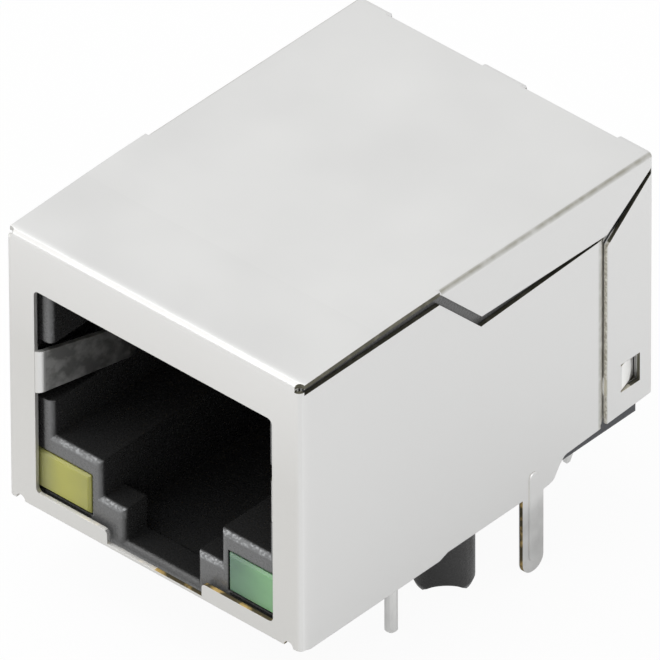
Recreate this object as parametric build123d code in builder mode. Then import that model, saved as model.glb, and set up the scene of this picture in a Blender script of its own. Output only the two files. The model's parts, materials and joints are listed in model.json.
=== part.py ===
from build123d import *
import math
import os

# Shielded single-port modular jack for a circuit board, with two lamps and its magnetics inside.
# Millimetres. X runs across the mouth, Y from the mouth to the rear, Z up from the board.
# The origin lies on the board's surface, halfway between the two locating pegs.
# Depths are distances behind the mouth.

# Outside of the shield
body_width = 15.9
body_depth = 21.24
body_height = 13.38
crest_rise = 0.15  # the top rises from its front fold and falls again to the rear
crest_depth = 6.4
crest_radius = 100
sheet = 0.2
bend_radius = 0.28  # outer radius of every fold

# The board's datum: two round pegs under the housing
peg_setback = 11.0
peg_inset = 2.235  # each peg's axis from the outside of the side wall
peg_radius = 1.29
peg_length = 3.5
peg_taper = 0.1
peg_taper_length = 0.25
peg_groove_radius = 1.0  # round groove across the end of each peg
peg_groove_depth = 0.55
peg_groove_turn = 45  # degrees

# Mouth in the front panel
window_side = 1.51  # from the outside of the side wall
window_bottom = 0.87
window_drop = 2.32  # below the top
window_rounding = 0.25
rim_bottom = 0.1
latch_notch_side = 0.68  # inside the latch's way
latch_notch_bottom = 0.24
latch_notch_rounding = 0.2
corner_hole = 0.22  # radius of the relief holes where three folds would meet
fold_relief_radius = 0.24
fold_relief_inset = 0.67  # from the outside of the side wall

# Spring fingers folded in from the mouth's sides
finger_bottom = 5.9
finger_top = 7.96
finger_taper = 0.3  # each edge closes in by this much over the finger's length
finger_root = 0.1  # the finger springs from this far inside the mouth's edge
finger_lean = 1.25  # how far the finger comes in on its way back
finger_run = 4.2  # depth of the finger's innermost point
finger_return = 1.6
finger_spread = 0.45
finger_bend = 0.3

# Side walls, flaps and slits. A drop is a distance below the top.
free_edge_depth = 8.33  # the top has no flaps in front of this
wall_shoulder_drop = 0.5  # top edge of a side wall in front of the flaps
wall_drop_front = 2.97
wall_drop_rear = 2.71
flap_drop_front = 2.49
flap_drop_rear = 2.62
flap_offset = 0.08
joggle_from_rear = 3.23
joggle_run = 0.38
joggle_step = 0.25
joggle_tail = 2.1
mitre_drop = 0.58
mitre_foot_drop = 3.24
mitre_gap = 0.26

# Lower edge of the side walls
wall_step_to_tab = 5.0
wall_step_run = 0.5
wall_step_height = 0.18
wall_end_to_tab = 0.6
wall_end_lean = 0.4  # run of the steep edge behind the tab
wall_end_height = 1.08
wall_end_corner = 0.3
wall_end_rounding = 0.35
rear_edge_height = 1.38

# Solder tabs of the shield
tab_from_rear = 7.94
tab_width = 1.25
tab_length = 3.7
tab_rounding = 0.6
tab_rib_width = 0.5
tab_rib_height = 0.06
tab_rib_edge = 0.05
tab_rib_top = 1.3
tab_rib_bottom = -3.15

# Lances that lock the rear flaps over the side walls
lance_from_rear = 2.01
lance_width = 1.16
lance_bottom = 2.32
lance_top = 3.72
lance_slit = 0.1
lance_sink = 0.32

# Bridges along the fold between the top and the rear panel
middle_bridge_width = 2.1
outer_bridge_width = 1.7
slot_setback = 0.34
slot_drop = 0.55

# Front housing
shield_clearance = 0.05
housing_setback = 0.38
plug_side = 2.1  # from the outside of the side wall
plug_floor = 3.74
plug_drop = 2.68
plug_back_wall = 1.4
mouth_rounding = 0.3
mouth_wall = 1.4  # the latch catches behind this wall
finger_slot_width = 0.85
finger_slot_margin = 0.42
finger_slot_run = 7.2
latch_side = 2.6  # inside the plug's way
latch_floor = 1.98
latch_chamber_floor = 0.26
latch_end_gap = 2.5
tongue_side = 1.28  # inside the latch's way
tongue_floor = 0.42

# Lamps under the plug's way
lamp_width = 3.0
lamp_height = 1.9
lamp_inset = 2.69  # each lamp's middle from the outside of the side wall
lamp_bottom = 0.96
lamp_setback = 0.28
lamp_length = 5.4
lamp_edge = 0.12
lamp_clearance = 0.08
lead_diameter = 0.56
lead_sides = 12
lead_grip = 1.0
lead_point = 0.14
lead_spacing = 2.54
lead_depth = 6.95
lead_bend = 0.6
lead_length = 3.5
lead_slot_margin = 0.25

# Contact springs and the insert that carries them
contact_count = 8
contact_pitch = 1.02
contact_width = 0.35
contact_thickness = 0.25
contact_clearance = 0.06
contact_drop = 1.78  # upper face of the springs' straight run
contact_fold = 0.45
contact_fold_depth = 2.7
contact_fold_height = 1.0
contact_tip_gap = 0.4
contact_tip_drop = 1.95  # below the plug's way
comb_margin = 0.5
comb_drop = 2.5  # below the plug's way
comb_length = 0.85
insert_margin = 0.9
insert_grip = 0.3
insert_height = 0.85
insert_setback = 6.2

# Case of the magnetics at the rear
case_side_gap = 0.4
case_rear_gap = 0.24
case_top_gap = 0.58
case_front_gap = 0.1
case_depth = 5.8
case_bottom = 0.22
case_floor = 1.6
case_wall = 0.6

# Circuit board inside the case
board_inset = 0.6
board_thickness = 0.8
board_clearance = 0.05
board_top_gap = 0.1
hole_clearance = 0.03
hole_sides = 12

# Signal pins in two staggered rows
pin_count = 8
pin_pitch = 1.27
pin_size = 0.38
pin_length = 3.33
pin_from_rear = 1.35
pin_row_spacing = 2.54
pin_level_front = 2.9
pin_level_rear = 4.2
pin_bend = 0.4
pin_point = 0.09
pin_point_length = 0.45
pin_clearance = 0.03
solder_length = 0.35  # pins and springs stand out of the circuit board by this

# Toroids
toroid_count = 4  # in each of two rows
toroid_gap = 0.17
toroid_lift = 0.57  # above the pins
toroid_top_gap = 0.26
bore_share = 0.556
core_thickness = 1.4
wire_build = 0.14  # depth of the winding over the core
winding_gap = 50  # degrees
ring_sides = 20

# Small parts on the circuit board's front face
chip_length = 1.6
chip_width = 0.8
chip_thickness = 0.45
chip_drop = 4.5  # below the circuit board's top edge
chip_pitch = 2.4
chip_count = 4
capacitor_length = 3.2
capacitor_width = 1.6
capacitor_thickness = 0.6
capacitor_drop = 2.5

# What follows from these
front = -peg_setback
rear = front + body_depth
half_width = body_width / 2
inner_half = half_width - sheet
peg_spacing = body_width - 2 * peg_inset
reach = tab_length + 1  # the blank runs this far below the board before it is trimmed
joggle_depth = body_depth - joggle_from_rear
lance_depth = body_depth - lance_from_rear
tab_depth = body_depth - tab_from_rear
wall_step_depth = tab_depth - wall_step_to_tab
wall_end_depth = tab_depth + tab_width + wall_end_to_tab
wall_shoulder = body_height - wall_shoulder_drop
wall_top_front = body_height - wall_drop_front
wall_top_rear = body_height - wall_drop_rear
flap_bottom_front = body_height - flap_drop_front
flap_bottom_rear = body_height - flap_drop_rear
mitre_top = body_height - mitre_drop
mitre_foot = body_height - mitre_foot_drop

case_rear = body_depth - sheet - case_rear_gap
case_setback = case_rear - case_depth
case_half = inner_half - case_side_gap
case_top = body_height - sheet - case_top_gap
housing_depth = case_setback - case_front_gap
housing_half = inner_half - shield_clearance
housing_top = body_height - sheet - shield_clearance
window_width = body_width - 2 * window_side
window_top = body_height - window_drop
plug_width = body_width - 2 * plug_side
plug_ceiling = body_height - plug_drop
plug_depth = housing_depth - plug_back_wall
latch_width = plug_width - 2 * latch_side
latch_run = plug_depth - latch_end_gap
latch_notch_width = latch_width - 2 * latch_notch_side
tongue_width = latch_width - 2 * tongue_side
lamp_centre = half_width - lamp_inset

contact_level = body_height - contact_drop
contact_tip_depth = plug_depth - contact_tip_gap
contact_tip_height = plug_ceiling - contact_tip_drop
comb_bottom = plug_ceiling - comb_drop
insert_bottom = contact_level - insert_grip
insert_top = contact_level + insert_height
board_setback = case_setback + board_inset
board_rear = board_setback + board_thickness
board_top = case_top - case_wall - board_top_gap
pin_row_rear = rear - pin_from_rear
pin_row_front = pin_row_rear - pin_row_spacing


def at(depth):
    """Y of a point this far behind the mouth."""
    return front + depth


def slab(x_low, x_high, depth_low, depth_high, z_low, z_high, mode=Mode.ADD):
    """Plain block between two X, two depths and two heights."""
    size = (x_high - x_low, depth_high - depth_low, z_high - z_low)
    middle = ((x_low + x_high) / 2, at((depth_low + depth_high) / 2), (z_low + z_high) / 2)
    with Locations(middle):
        Box(*size, mode=mode)


def save(part, name):
    """Labels a finished piece and writes its file."""
    part.label = name
    export_step(part, f"parts/{name}.step")


def side_profile(plane, inset):
    """Front, top and rear of the sheet's block seen from the side, drawn in by inset."""
    near, far, top = front + inset, rear - inset, body_height - inset
    with BuildSketch(plane) as profile:
        with BuildLine():
            FilletPolyline((near, top), (at(crest_depth), top + crest_rise), (far, top),
                           radius=crest_radius)
            Polyline((far, top), (far, -reach), (near, -reach), (near, top))
        make_face()
    return profile.sketch


def folded_block(inset, half, flapped):
    """Block under the sheet's skin: the rear one has round flap folds, the front one has none."""
    rounding = bend_radius - inset
    with BuildPart() as block:
        extrude(side_profile(Plane.YZ.offset(-half), inset), amount=2 * half)
        if flapped:
            slab(-half, half, free_edge_depth, body_depth + 1, -reach, 2 * body_height,
                 mode=Mode.INTERSECT)
            folds = block.faces().filter_by(Axis.Y).sort_by(Axis.Y)[-1].edges()
            folds += block.faces().sort_by(Axis.Z)[-1].edges().filter_by(Axis.X, reverse=True)
            fillet(folds.group_by(Axis.Z)[1:], rounding)
        else:
            slab(-half, half, -1, free_edge_depth, -reach, 2 * body_height, mode=Mode.INTERSECT)
            folds = block.faces().filter_by(Axis.Y).sort_by(Axis.Y)[0].edges().group_by(Axis.Z)[-1]
            fillet(folds, rounding)
            with BuildSketch(Plane.XY.offset(-reach)):
                with Locations((0, front + body_depth / 2)):
                    RectangleRounded(2 * half, body_depth - 2 * inset, rounding)
            extrude(amount=2 * body_height + reach, mode=Mode.INTERSECT)
    return block.part


def skin(flapped):
    """One sheet's thickness of the folded block, behind the flaps' front edge or in front of it."""
    with BuildPart() as layer:
        add(folded_block(0, half_width, flapped))
        add(folded_block(sheet, half_width - sheet, flapped), mode=Mode.SUBTRACT)
    return layer.part


def slit_cutter(side):
    """Cuts the gap between a side wall, the top's flap and the rear flap."""
    panel_end = at(free_edge_depth)
    wall_foot = panel_end + wall_shoulder - wall_top_front
    flap_start = panel_end + flap_offset
    flap_top = body_height + crest_rise - sheet
    flap_foot = flap_start + flap_top - flap_bottom_front
    groove_front, groove_rear = at(joggle_depth), at(joggle_depth + joggle_run)
    with BuildPart() as cutter:
        with BuildSketch(Plane.YZ.offset(side * (half_width - sheet / 2))):
            with BuildLine():
                Polyline(
                    (at(bend_radius), body_height + 1), (at(bend_radius), wall_shoulder),
                    (panel_end, wall_shoulder), (wall_foot, wall_top_front),
                    (groove_front, wall_top_rear), (groove_front, -reach), (groove_rear, -reach),
                    (groove_rear, mitre_foot), (rear, mitre_top - mitre_gap),
                    (rear + 1, mitre_top - mitre_gap), (rear + 1, mitre_top), (rear, mitre_top),
                    (groove_rear, flap_bottom_rear), (flap_foot, flap_bottom_front),
                    (flap_start, flap_top), (flap_start, body_height + 1), close=True)
            make_face()
        extrude(amount=sheet, both=True)
        under_top = side_profile(Plane.YZ.offset(-body_width), sheet)
        extrude(under_top, amount=2 * body_width, mode=Mode.INTERSECT)
    return cutter.part


def bent_strip(plane, points, radius, width, thickness):
    """Strip that follows a path drawn on a plane, with its width centred on that plane."""
    with BuildPart() as strip:
        with BuildSketch(plane):
            with BuildLine() as path:
                FilletPolyline(*points, radius=radius)
            trace(path.line, line_width=thickness)
        extrude(amount=width / 2, both=True)
    return strip.part


def side_outline(plane):
    """Outline of the blank seen from the side, with the solder tab."""
    wall_end = at(wall_end_depth)
    tab_front, tab_back = at(tab_depth), at(tab_depth + tab_width)
    with BuildSketch(plane) as outline:
        with BuildLine():
            Polyline(
                (front - 1, 2 * body_height), (front - 1, rim_bottom), (at(bend_radius), rim_bottom),
                (at(2 * bend_radius), 0), (at(wall_step_depth), 0),
                (at(wall_step_depth + wall_step_run), wall_step_height), (tab_front, wall_step_height),
                (tab_front, -tab_length), (tab_back, -tab_length), (tab_back, wall_step_height / 2),
                (wall_end, wall_step_height),
                (wall_end + wall_end_lean, wall_end_height - wall_end_corner),
                (wall_end + wall_end_lean + wall_end_corner, wall_end_height),
                (rear + 1, rear_edge_height),
                (rear + 1, 2 * body_height), close=True)
        make_face()
        fillet(outline.vertices().sort_by(Axis.Y)[:2], tab_rounding)
        behind_tab = outline.vertices().filter_by_position(Axis.X, tab_back + sheet, rear)
        fillet(behind_tab, wall_end_rounding)
    return outline.sketch


def spring_finger(points):
    """Finger bent in from the mouth's side, narrower towards its tip."""
    middle = (finger_bottom + finger_top) / 2
    root, tip = front - 1, at(finger_run + finger_return)
    with BuildPart() as finger:
        add(bent_strip(Plane.XY.offset(middle), points, finger_bend, finger_top - finger_bottom, sheet))
        with BuildSketch(Plane.YZ.offset(-body_width)):
            with BuildLine():
                Polyline((root, finger_bottom), (front, finger_bottom), (tip, finger_bottom + finger_taper),
                         (tip, finger_top - finger_taper), (front, finger_top), (root, finger_top),
                         close=True)
            make_face()
        extrude(amount=2 * body_width, mode=Mode.INTERSECT)
    return finger.part


def ground_rib(side):
    """Embossed rib down the middle of a solder tab."""
    middle = at(tab_depth + tab_width / 2)
    with BuildPart() as rib:
        with BuildSketch(Plane.YZ.offset(side * half_width)):
            with Locations((middle, (tab_rib_top + tab_rib_bottom) / 2)):
                SlotOverall(tab_rib_top - tab_rib_bottom, tab_rib_width, rotation=90)
        extrude(amount=tab_rib_height * side)
        chamfer(rib.faces().sort_by(Axis.X)[-1 if side > 0 else 0].edges(), tab_rib_edge)
    return rib.part


def formed_lead(x):
    """Lamp lead, from inside the lamp back and down through the board."""
    with BuildPart() as lead:
        with BuildLine(Plane.YZ.offset(x)) as path:
            FilletPolyline((at(lamp_back - lead_grip), lamp_middle), (at(lead_depth), lamp_middle),
                           (at(lead_depth), -lead_length), radius=lead_bend)
        with BuildSketch(Plane(path.line @ 0, z_dir=path.line % 0)):
            RegularPolygon(lead_diameter / 2, lead_sides)
        sweep()
        chamfer(lead.faces().sort_by(Axis.Z)[0].edges(), lead_point)
    return lead.part


def round_hole(x, z, radius):
    """Hole through the circuit board, with few sides."""
    with BuildSketch(Plane.XZ.offset(-at(board_setback - 1))) as hole:
        with Locations((x, z)):
            RegularPolygon(radius, hole_sides)
    extrude(hole.sketch, amount=-board_thickness - 2, mode=Mode.SUBTRACT)


def ring(radius, bore, centre_x, centre_z, inset):
    """Flat ring standing on the circuit board's rear face, drawn in by inset at both faces."""
    face = Plane((centre_x, at(board_rear) + inset, centre_z), x_dir=(1, 0, 0), z_dir=(0, 1, 0))
    with BuildPart() as made:
        with BuildSketch(face):
            RegularPolygon(radius, ring_sides)
            RegularPolygon(bore, ring_sides, mode=Mode.SUBTRACT)
        extrude(amount=core_thickness + 2 * (wire_build - inset))
    return made.part


os.makedirs("parts", exist_ok=True)

# Shield: one sheet folded round the housing, with its fingers, tabs and lances
skin_middle = half_width - sheet / 2
groove_rear = joggle_depth + joggle_run
tail_middle = skin_middle - joggle_step
window_half = window_width / 2
finger_start = window_half - finger_root
lance_middle = (lance_bottom + lance_top) / 2
bridge_start = middle_bridge_width / 2
bridge_end = half_width - outer_bridge_width
with BuildPart() as shield:
    add(skin(flapped=False))
    add(skin(flapped=True))
    extrude(side_outline(Plane.YZ.offset(-body_width)), amount=2 * body_width, mode=Mode.INTERSECT)
    for side in (-1, 1):
        add(slit_cutter(side), mode=Mode.SUBTRACT)
        with Locations((side * (half_width - corner_hole / 3), front + corner_hole / 3, body_height)):
            Cylinder(corner_hole, 3 * corner_hole, mode=Mode.SUBTRACT)
        with Locations((side * (half_width - fold_relief_inset), front, rim_bottom)):
            Cylinder(fold_relief_radius, 1, rotation=(90, 0, 0), mode=Mode.SUBTRACT)
        tail = ((side * skin_middle, at(joggle_depth - sheet)), (side * skin_middle, at(joggle_depth)),
                (side * tail_middle, at(groove_rear)),
                (side * tail_middle, at(groove_rear + joggle_tail)))
        tail_height = wall_top_rear - rear_edge_height
        add(bent_strip(Plane.XY.offset(rear_edge_height + tail_height / 2), tail, sheet / 2,
                       tail_height, sheet))

    # Mouth with its latch notch, whose corners are round where it meets the mouth
    with BuildSketch(Plane.XZ.offset(-front)) as mouth:
        with Locations((0, (window_bottom + window_top) / 2)):
            RectangleRounded(window_width, window_top - window_bottom, window_rounding)
        with Locations((0, (window_bottom + latch_notch_bottom + window_rounding) / 2)):
            Rectangle(latch_notch_width, window_bottom + window_rounding - latch_notch_bottom)
        notch_corners = mouth.vertices().filter_by(lambda v: abs(abs(v.X) - latch_notch_width / 2) < 0.01)
        fillet(notch_corners.group_by(Axis.Y)[-1], latch_notch_rounding)
    extrude(amount=2 * sheet, both=True, mode=Mode.SUBTRACT)

    # Slots that leave three bridges between the top and the rear panel
    for side in (-1, 1):
        low, high = sorted((side * bridge_start, side * bridge_end))
        slab(low, high, body_depth - slot_setback, body_depth + 1, body_height - slot_drop,
             body_height + 1, mode=Mode.SUBTRACT)
        low, high = sorted((side * (tail_middle - sheet), side * (half_width + 1)))
        slab(low, high, lance_depth, lance_depth + lance_width, lance_bottom, lance_top,
             mode=Mode.SUBTRACT)
        lance = ((side * skin_middle, at(lance_depth - sheet)), (side * skin_middle, at(lance_depth)),
                 (side * (skin_middle - lance_sink), at(lance_depth + lance_width - lance_slit)))
        add(bent_strip(Plane.XY.offset(lance_middle), lance, sheet / 2,
                       lance_top - lance_bottom - 2 * lance_slit, sheet))
        root = window_half + 2 * sheet
        finger = ((side * root, front + sheet / 2), (side * finger_start, front + sheet / 2),
                  (side * (finger_start - finger_lean), at(finger_run)),
                  (side * (finger_start - finger_lean + finger_spread), at(finger_run + finger_return)))
        add(spring_finger(finger))
        add(ground_rib(side))

save(shield.part, "shield_shell")

# Front housing: one moulding with the plug's way, lamp pockets, comb and pegs
finger_slot_half = plug_width / 2 + finger_slot_width
comb_half = (contact_count - 1) * contact_pitch / 2 + comb_margin
insert_half = (contact_count - 1) * contact_pitch / 2 + insert_margin
lead_slot = lead_diameter / 2 + lead_slot_margin
lamp_back = lamp_setback + lamp_length
lamp_middle = lamp_bottom + lamp_height / 2
mouth_end = housing_setback + mouth_wall
contact_places = [(i - (contact_count - 1) / 2) * contact_pitch for i in range(contact_count)]
lamp_places = {"left": -lamp_centre, "right": lamp_centre}
with BuildPart() as housing:
    slab(-housing_half, housing_half, housing_setback, housing_depth, 0, housing_top)
    slab(-plug_width / 2, plug_width / 2, 0, plug_depth, plug_floor, plug_ceiling, mode=Mode.SUBTRACT)
    slab(-latch_width / 2, latch_width / 2, 0, mouth_end, latch_floor, plug_floor + 1, mode=Mode.SUBTRACT)
    slab(-tongue_width / 2, tongue_width / 2, 0, mouth_end, tongue_floor, plug_floor, mode=Mode.SUBTRACT)
    fillet(housing.faces().sort_by(Axis.Y)[0].inner_wires()[0].edges(), mouth_rounding)
    slab(-latch_width / 2, latch_width / 2, mouth_end, latch_run, latch_chamber_floor, plug_floor,
         mode=Mode.SUBTRACT)
    slab(-finger_slot_half, finger_slot_half, 0, finger_slot_run, finger_bottom - finger_slot_margin,
         finger_top + finger_slot_margin, mode=Mode.SUBTRACT)

    # Bay of the contact insert, open to the plug's way and to the rear
    slab(-insert_half, insert_half, contact_fold_depth + 1, housing_depth + 1,
         plug_ceiling - 1, insert_top + shield_clearance, mode=Mode.SUBTRACT)
    slab(-comb_half, comb_half, plug_depth - comb_length, housing_depth, comb_bottom, plug_ceiling)
    for x in contact_places:
        slot_half = contact_width / 2 + contact_clearance
        slab(x - slot_half, x + slot_half, 0, plug_depth, comb_bottom + 2 * contact_clearance,
             plug_ceiling + 1, mode=Mode.SUBTRACT)

    # Pocket of each lamp, with a slot below for its leads
    for x in lamp_places.values():
        low, high = x - lamp_width / 2 - lamp_clearance, x + lamp_width / 2 + lamp_clearance
        slab(low, high, 0, lamp_back + lamp_clearance, lamp_bottom - lamp_clearance,
             lamp_bottom + lamp_height + lamp_clearance, mode=Mode.SUBTRACT)
        slab(x - lead_spacing / 2 - lead_slot, x + lead_spacing / 2 + lead_slot, lamp_back,
             lead_depth + lead_slot, -1, lamp_bottom + lamp_height + lamp_clearance, mode=Mode.SUBTRACT)

    # Locating pegs, hollowed across the end
    for x in (-peg_spacing / 2, peg_spacing / 2):
        with BuildPart(mode=Mode.PRIVATE) as peg:
            with Locations((x, 0, -peg_length / 2)):
                Cylinder(peg_radius, peg_length)
            end = peg.faces().sort_by(Axis.Z)[0]
            chamfer(end.edges(), peg_taper, peg_taper_length, reference=end)
            groove_centre = -peg_length - peg_groove_radius + peg_groove_depth
            turn = math.copysign(peg_groove_turn, x)
            with Locations(Location((x, 0, groove_centre), (0, 0, -turn))):
                Cylinder(peg_groove_radius, 4 * peg_radius, rotation=(0, 90, 0), mode=Mode.SUBTRACT)
        add(peg.part)
save(housing.part, "front_housing")

# Lamps with formed leads
for name, x in lamp_places.items():
    leads = [formed_lead(lead_x) for lead_x in (x - lead_spacing / 2, x + lead_spacing / 2)]
    with BuildPart() as lamp:
        slab(x - lamp_width / 2, x + lamp_width / 2, lamp_setback, lamp_back, lamp_bottom,
             lamp_bottom + lamp_height)
        chamfer(lamp.faces().sort_by(Axis.Y)[0].edges(), lamp_edge)
        for lead in leads:
            add(lead, mode=Mode.SUBTRACT)
    save(lamp.part, f"lamp_{name}")
    for number, lead in enumerate(leads, 1):
        save(lead, f"lamp_{name}_lead_{number}")

# Contact insert: comb of channels that hold the springs' straight runs
with BuildPart() as insert:
    slab(-insert_half + shield_clearance, insert_half - shield_clearance, insert_setback, housing_depth,
         insert_bottom, insert_top)
    for x in contact_places:
        slot_half = contact_width / 2 + contact_clearance / 2
        slab(x - slot_half, x + slot_half, 0, housing_depth + 1, 0, contact_level, mode=Mode.SUBTRACT)
save(insert.part, "contact_insert")

# Contact springs: from the circuit board forward, folded back and down into the comb
spring_level = contact_level - contact_thickness / 2
spring_rear = at(board_rear + solder_length)
for number, x in enumerate(contact_places, 1):
    with BuildPart() as contact:
        add(bent_strip(Plane.YZ.offset(x),
                       ((spring_rear, spring_level), (at(contact_fold_depth), spring_level),
                        (at(contact_fold_depth), spring_level - contact_fold_height),
                        (at(contact_tip_depth), contact_tip_height)),
                       contact_fold, contact_width, contact_thickness))
    save(contact.part, f"contact_{number}")

# Case of the magnetics: a frame open to the front and the rear, with the pins through its floor
pin_places = [(i - (pin_count - 1) / 2) * pin_pitch for i in range(pin_count)]
pin_rows = [pin_row_rear if i % 2 else pin_row_front for i in range(pin_count)]
pin_levels = [pin_level_rear if i % 2 else pin_level_front for i in range(pin_count)]
with BuildPart() as case:
    slab(-case_half, case_half, case_setback, case_rear, case_bottom, case_top)
    slab(-case_half + case_wall, case_half - case_wall, case_setback - 1, case_rear + 1, case_floor,
         case_top - case_wall, mode=Mode.SUBTRACT)
    for x, y in zip(pin_places, pin_rows):
        with Locations((x, y, case_floor)):
            Box(pin_size + 2 * pin_clearance, pin_size + 2 * pin_clearance, 3 * case_floor,
                mode=Mode.SUBTRACT)
save(case.part, "magnetics_case")

# Circuit board standing on the case's floor, with holes for the springs' tails and the pins
board_half = case_half - case_wall - board_clearance
with BuildPart() as board:
    slab(-board_half, board_half, board_setback, board_rear, case_floor, board_top)
    for x in contact_places:
        round_hole(x, spring_level, math.hypot(contact_width, contact_thickness) / 2 + hole_clearance)
    for x, z in zip(pin_places, pin_levels):
        round_hole(x, z, math.hypot(pin_size, pin_size) / 2 + hole_clearance)
save(board.part, "circuit_board")

# Signal pins: bent from the circuit board down through the case's floor
for number, (x, y, z) in enumerate(zip(pin_places, pin_rows, pin_levels), 1):
    with BuildPart() as pin:
        add(bent_strip(Plane.YZ.offset(x),
                       ((at(board_setback - solder_length), z), (y, z), (y, -pin_length)),
                       pin_bend, pin_size, pin_size))
        tip = pin.faces().sort_by(Axis.Z)[0]
        chamfer(tip.edges(), pin_point, pin_point_length, reference=tip)
    save(pin.part, f"pin_{number}")

# Toroids on the circuit board's rear face, each a ring core in a sleeve of wire. The rings are as
# large as the case's width and the height between the pins and the springs both allow.
toroid_base = pin_level_rear + pin_size / 2 + toroid_lift
toroid_room = contact_level - contact_thickness - toroid_top_gap - toroid_base
toroid_rise = (toroid_room + toroid_gap) / 2
toroid_pitch = 2 * (case_half - case_wall) / toroid_count
winding_radius = (min(toroid_rise, toroid_pitch) - toroid_gap) / 2
core_radius = winding_radius - wire_build
bore_radius = core_radius * bore_share
toroid_places = [(i - (toroid_count - 1) / 2) * toroid_pitch for i in range(toroid_count)]
toroid_rows = (toroid_base + winding_radius, toroid_base + winding_radius + toroid_rise)
toroid_centres = [(x, z) for z in toroid_rows for x in toroid_places]
for number, (x, z) in enumerate(toroid_centres, 1):
    core = ring(core_radius, bore_radius, x, z, wire_build)
    save(core, f"toroid_core_{number}")
    with BuildPart() as winding:
        add(ring(winding_radius, bore_radius - wire_build, x, z, 0))
        add(core, mode=Mode.SUBTRACT)
        gap_half = 2 * winding_radius * math.tan(math.radians(winding_gap / 2))
        with BuildSketch(Plane.XZ.offset(-at(board_rear - 1))):
            with Locations((x, z)):
                Polygon((0, 0), (-gap_half, -2 * winding_radius), (gap_half, -2 * winding_radius),
                        align=None)
        extrude(amount=-core_thickness - 2, mode=Mode.SUBTRACT)
    save(winding.part, f"winding_{number}")

# Resistors and capacitor on the circuit board's front face
chip_places = [(i - (chip_count - 1) / 2) * chip_pitch for i in range(chip_count)]
for number, x in enumerate(chip_places, 1):
    with BuildPart() as chip:
        slab(x - chip_width / 2, x + chip_width / 2, board_setback - chip_thickness, board_setback,
             board_top - chip_drop - chip_length / 2, board_top - chip_drop + chip_length / 2)
    save(chip.part, f"chip_resistor_{number}")
with BuildPart() as capacitor:
    slab(-capacitor_length / 2, capacitor_length / 2, board_setback - capacitor_thickness, board_setback,
         board_top - capacitor_drop - capacitor_width / 2, board_top - capacitor_drop + capacitor_width / 2)
save(capacitor.part, "chip_capacitor")
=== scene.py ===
# %% [markdown]
# # A shielded board jack, dressed in Blender
# The jack is a folded tin-plated box round a black moulding. Its shape is already right in the packed
# model, so this lesson is about its finishes: rolled tin plate with bare cut edges, grained black
# plastic, two diffused lamp lenses, gilt springs and tinned pins, and the copper wire on the toroids.
# Every length is in metres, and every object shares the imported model's frame.

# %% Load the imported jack
import json
import math

import bpy
from mathutils import Matrix, Vector


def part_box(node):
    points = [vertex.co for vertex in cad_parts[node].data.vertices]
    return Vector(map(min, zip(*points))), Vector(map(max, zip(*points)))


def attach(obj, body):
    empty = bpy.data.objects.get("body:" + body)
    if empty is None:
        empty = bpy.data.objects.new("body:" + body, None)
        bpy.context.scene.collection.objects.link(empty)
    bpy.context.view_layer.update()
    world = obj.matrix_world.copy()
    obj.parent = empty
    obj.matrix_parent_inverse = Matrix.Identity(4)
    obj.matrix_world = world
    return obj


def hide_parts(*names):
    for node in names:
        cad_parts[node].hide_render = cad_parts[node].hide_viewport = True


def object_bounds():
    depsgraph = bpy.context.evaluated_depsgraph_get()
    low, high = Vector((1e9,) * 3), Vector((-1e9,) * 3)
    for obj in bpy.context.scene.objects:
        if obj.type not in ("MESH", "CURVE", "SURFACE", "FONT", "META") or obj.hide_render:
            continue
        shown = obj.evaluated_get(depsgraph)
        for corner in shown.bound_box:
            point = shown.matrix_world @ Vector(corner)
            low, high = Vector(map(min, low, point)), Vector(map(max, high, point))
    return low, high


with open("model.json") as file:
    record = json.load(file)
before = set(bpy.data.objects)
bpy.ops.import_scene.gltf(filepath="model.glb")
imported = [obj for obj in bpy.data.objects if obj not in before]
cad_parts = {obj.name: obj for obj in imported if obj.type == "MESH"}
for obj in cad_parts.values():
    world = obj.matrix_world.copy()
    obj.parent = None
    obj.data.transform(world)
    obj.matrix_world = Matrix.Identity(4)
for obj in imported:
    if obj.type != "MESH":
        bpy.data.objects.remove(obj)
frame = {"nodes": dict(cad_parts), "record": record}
nodes = frame["nodes"]
cad_low, cad_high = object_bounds()
mm = 0.001
print("packed nodes:", len(nodes), "size in mm:", [round(v / mm, 2) for v in cad_high - cad_low])

# %% [markdown]
# ## A place to build materials
# Every finish starts as a Principled shader on a fresh material. One helper makes it, and another
# makes a shader node group with named sockets, because several finishes share the same effects. A
# third adds a node and wires its inputs in one line, which keeps the later cells short.

# %% Helpers for materials and groups


def new_finish(name, base, roughness, metallic=0.0):
    """A material with a Principled shader set to plain values."""
    finish = bpy.data.materials.new(name)
    finish.use_nodes = True
    shader = finish.node_tree.nodes["Principled BSDF"]
    shader.inputs["Base Color"].default_value = (*base, 1)
    shader.inputs["Roughness"].default_value = roughness
    shader.inputs["Metallic"].default_value = metallic
    return finish, finish.node_tree, shader


def add_node(tree, kind, inputs=None, **settings):
    """A node of this kind, with its settings, and with its inputs set or wired."""
    node = tree.nodes.new(kind)
    for key, value in settings.items():
        setattr(node, key, value)
    for key, value in (inputs or {}).items():
        if isinstance(value, bpy.types.NodeSocket):
            tree.links.new(value, node.inputs[key])
        else:
            node.inputs[key].default_value = value
    return node


def new_group(name, inputs, outputs):
    """A shader node group with float inputs {name: default} and outputs {name: socket type}."""
    tree = bpy.data.node_groups.new(name, "ShaderNodeTree")
    for key, default in inputs.items():
        socket = tree.interface.new_socket(key, in_out="INPUT", socket_type="NodeSocketFloat")
        socket.default_value = default
    for key, kind in outputs.items():
        tree.interface.new_socket(key, in_out="OUTPUT", socket_type=kind)
    return tree, tree.nodes.new("NodeGroupInput"), tree.nodes.new("NodeGroupOutput")


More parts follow.
